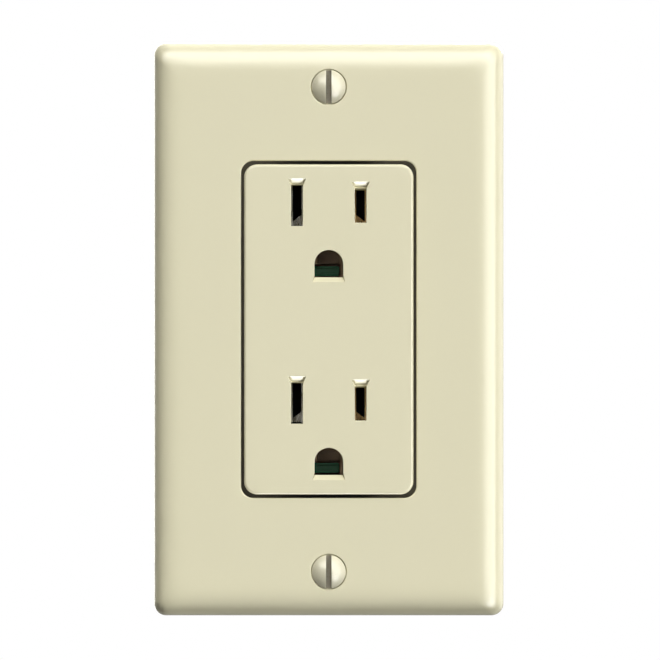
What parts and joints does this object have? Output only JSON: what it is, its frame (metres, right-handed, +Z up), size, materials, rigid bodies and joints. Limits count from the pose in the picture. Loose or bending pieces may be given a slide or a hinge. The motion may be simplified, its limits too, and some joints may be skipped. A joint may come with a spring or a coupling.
{
  "type": "duplex wall outlet",
  "caption": "Duplex wall outlet with a rectangular face, grounded sockets, screw terminals, a wraparound strap and a screw-on wallplate.",
  "frame": {"origin": "centre of the wallplate, on the surface of the wall", "axes": "+X to the viewer's right, +Y into the wall, +Z up; the outlet faces -Y"},
  "size_m": [0.0698, 0.0337, 0.1142],
  "materials": {
    "ivory_plate": "semi-gloss moulded ivory plastic",
    "ivory_face": "semi-gloss moulded ivory plastic",
    "ivory_screw": "ivory enamel on steel",
    "dark_body": "matt charcoal moulded plastic",
    "zinc_steel": "zinc-plated steel",
    "brass": "satin brass",
    "nickel": "nickel-plated brass",
    "green_nylon": "green moulded plastic",
    "green_screw": "green-passivated steel",
    "fibre": "red vulcanised fibre"
  },
  "bodies": {
    "device": {"receptacle_face": "ivory_face", "back_body": "dark_body", "mounting_strap": "zinc_steel", "hot_contact_bus": "brass", "neutral_contact_bus": "nickel", "ground_contact_upper": "brass", "ground_contact_lower": "brass", "ground_spacer_upper": "green_nylon", "ground_spacer_lower": "green_nylon", "ground_rivet_upper": "zinc_steel", "ground_rivet_lower": "zinc_steel", "grounding_clip": "brass", "assembly_screw_upper_left": "zinc_steel", "assembly_screw_upper_right": "zinc_steel", "assembly_screw_lower_left": "zinc_steel", "assembly_screw_lower_right": "zinc_steel"},
    "wallplate": {"wallplate": "ivory_plate"},
    "plate_screw_upper": {"plate_screw_upper": "ivory_screw"},
    "plate_screw_lower": {"plate_screw_lower": "ivory_screw"},
    "screw_retainer_upper": {"screw_retainer_upper": "fibre"},
    "mounting_screw_upper": {"mounting_screw_upper": "zinc_steel"},
    "screw_retainer_lower": {"screw_retainer_lower": "fibre"},
    "mounting_screw_lower": {"mounting_screw_lower": "zinc_steel"},
    "terminal_clamp_hot_upper": {"terminal_clamp_hot_upper": "brass"},
    "terminal_screw_hot_upper": {"terminal_screw_hot_upper": "brass"},
    "terminal_clamp_hot_lower": {"terminal_clamp_hot_lower": "brass"},
    "terminal_screw_hot_lower": {"terminal_screw_hot_lower": "brass"},
    "terminal_clamp_neutral_upper": {"terminal_clamp_neutral_upper": "nickel"},
    "terminal_screw_neutral_upper": {"terminal_screw_neutral_upper": "nickel"},
    "terminal_clamp_neutral_lower": {"terminal_clamp_neutral_lower": "nickel"},
    "terminal_screw_neutral_lower": {"terminal_screw_neutral_lower": "nickel"},
    "ground_clamp": {"ground_clamp": "zinc_steel"},
    "ground_screw": {"ground_screw": "green_screw"}
  },
  "joints": [
    {"name": "wallplate_slide", "type": "slide", "parent": "device", "child": "wallplate", "axis": [0, -1, 0], "range_m": [0, 0.00873]},
    {"name": "plate_screw_upper_turn", "type": "hinge", "parent": "wallplate", "child": "plate_screw_upper", "pos_m": [0, -0.0056, 0.04842], "axis": [0, -1, 0], "range_deg": [0, 3961]},
    {"name": "plate_screw_lower_turn", "type": "hinge", "parent": "wallplate", "child": "plate_screw_lower", "pos_m": [0, -0.0056, -0.04842], "axis": [0, -1, 0], "range_deg": [0, 3961]},
    {"name": "screw_retainer_upper_slide", "type": "slide", "parent": "device", "child": "screw_retainer_upper", "axis": [1, 0, 0], "range_m": [-0.0012, 0.0012]},
    {"name": "mounting_screw_upper_turn", "type": "hinge", "parent": "screw_retainer_upper", "child": "mounting_screw_upper", "pos_m": [0, 0, 0.04167], "axis": [0, -1, 0], "continuous": true},
    {"name": "screw_retainer_lower_slide", "type": "slide", "parent": "device", "child": "screw_retainer_lower", "axis": [1, 0, 0], "range_m": [-0.0012, 0.0012]},
    {"name": "mounting_screw_lower_turn", "type": "hinge", "parent": "screw_retainer_lower", "child": "mounting_screw_lower", "pos_m": [0, 0, -0.04167], "axis": [0, -1, 0], "continuous": true},
    {"name": "terminal_clamp_hot_upper_slide", "type": "slide", "parent": "device", "child": "terminal_clamp_hot_upper", "axis": [1, 0, 0], "range_m": [0, 0.00238]},
    {"name": "terminal_screw_hot_upper_turn", "type": "hinge", "parent": "terminal_clamp_hot_upper", "child": "terminal_screw_hot_upper", "pos_m": [0.0154, 0.013, 0.0099], "axis": [1, 0, 0], "range_deg": [0, 1081]},
    {"name": "terminal_clamp_hot_lower_slide", "type": "slide", "parent": "device", "child": "terminal_clamp_hot_lower", "axis": [1, 0, 0], "range_m": [0, 0.00238]},
    {"name": "terminal_screw_hot_lower_turn", "type": "hinge", "parent": "terminal_clamp_hot_lower", "child": "terminal_screw_hot_lower", "pos_m": [0.0154, 0.013, -0.0099], "axis": [1, 0, 0], "range_deg": [0, 1081]},
    {"name": "terminal_clamp_neutral_upper_slide", "type": "slide", "parent": "device", "child": "terminal_clamp_neutral_upper", "axis": [-1, 0, 0], "range_m": [0, 0.00238]},
    {"name": "terminal_screw_neutral_upper_turn", "type": "hinge", "parent": "terminal_clamp_neutral_upper", "child": "terminal_screw_neutral_upper", "pos_m": [-0.0154, 0.013, 0.0099], "axis": [-1, 0, 0], "range_deg": [0, 1081]},
    {"name": "terminal_clamp_neutral_lower_slide", "type": "slide", "parent": "device", "child": "terminal_clamp_neutral_lower", "axis": [-1, 0, 0], "range_m": [0, 0.00238]},
    {"name": "terminal_screw_neutral_lower_turn", "type": "hinge", "parent": "terminal_clamp_neutral_lower", "child": "terminal_screw_neutral_lower", "pos_m": [-0.0154, 0.013, -0.0099], "axis": [-1, 0, 0], "range_deg": [0, 1081]},
    {"name": "ground_clamp_slide", "type": "slide", "parent": "device", "child": "ground_clamp", "axis": [-1, 0, 0], "range_m": [0, 0.00238]},
    {"name": "ground_screw_turn", "type": "hinge", "parent": "ground_clamp", "child": "ground_screw", "pos_m": [-0.02015, 0.0125, -0.0256], "axis": [-1, 0, 0], "range_deg": [0, 1081]}
  ],
  "couplings": [
    {"joint": "plate_screw_upper_turn", "follows": "wallplate_slide", "rad_per_m": 7915.8},
    {"joint": "plate_screw_lower_turn", "follows": "wallplate_slide", "rad_per_m": 7915.8},
    {"joint": "terminal_screw_hot_upper_turn", "follows": "terminal_clamp_hot_upper_slide", "rad_per_m": 7915.8},
    {"joint": "terminal_screw_hot_lower_turn", "follows": "terminal_clamp_hot_lower_slide", "rad_per_m": 7915.8},
    {"joint": "terminal_screw_neutral_upper_turn", "follows": "terminal_clamp_neutral_upper_slide", "rad_per_m": 7915.8},
    {"joint": "terminal_screw_neutral_lower_turn", "follows": "terminal_clamp_neutral_lower_slide", "rad_per_m": 7915.8},
    {"joint": "ground_screw_turn", "follows": "ground_clamp_slide", "rad_per_m": 7915.8}
  ]
}
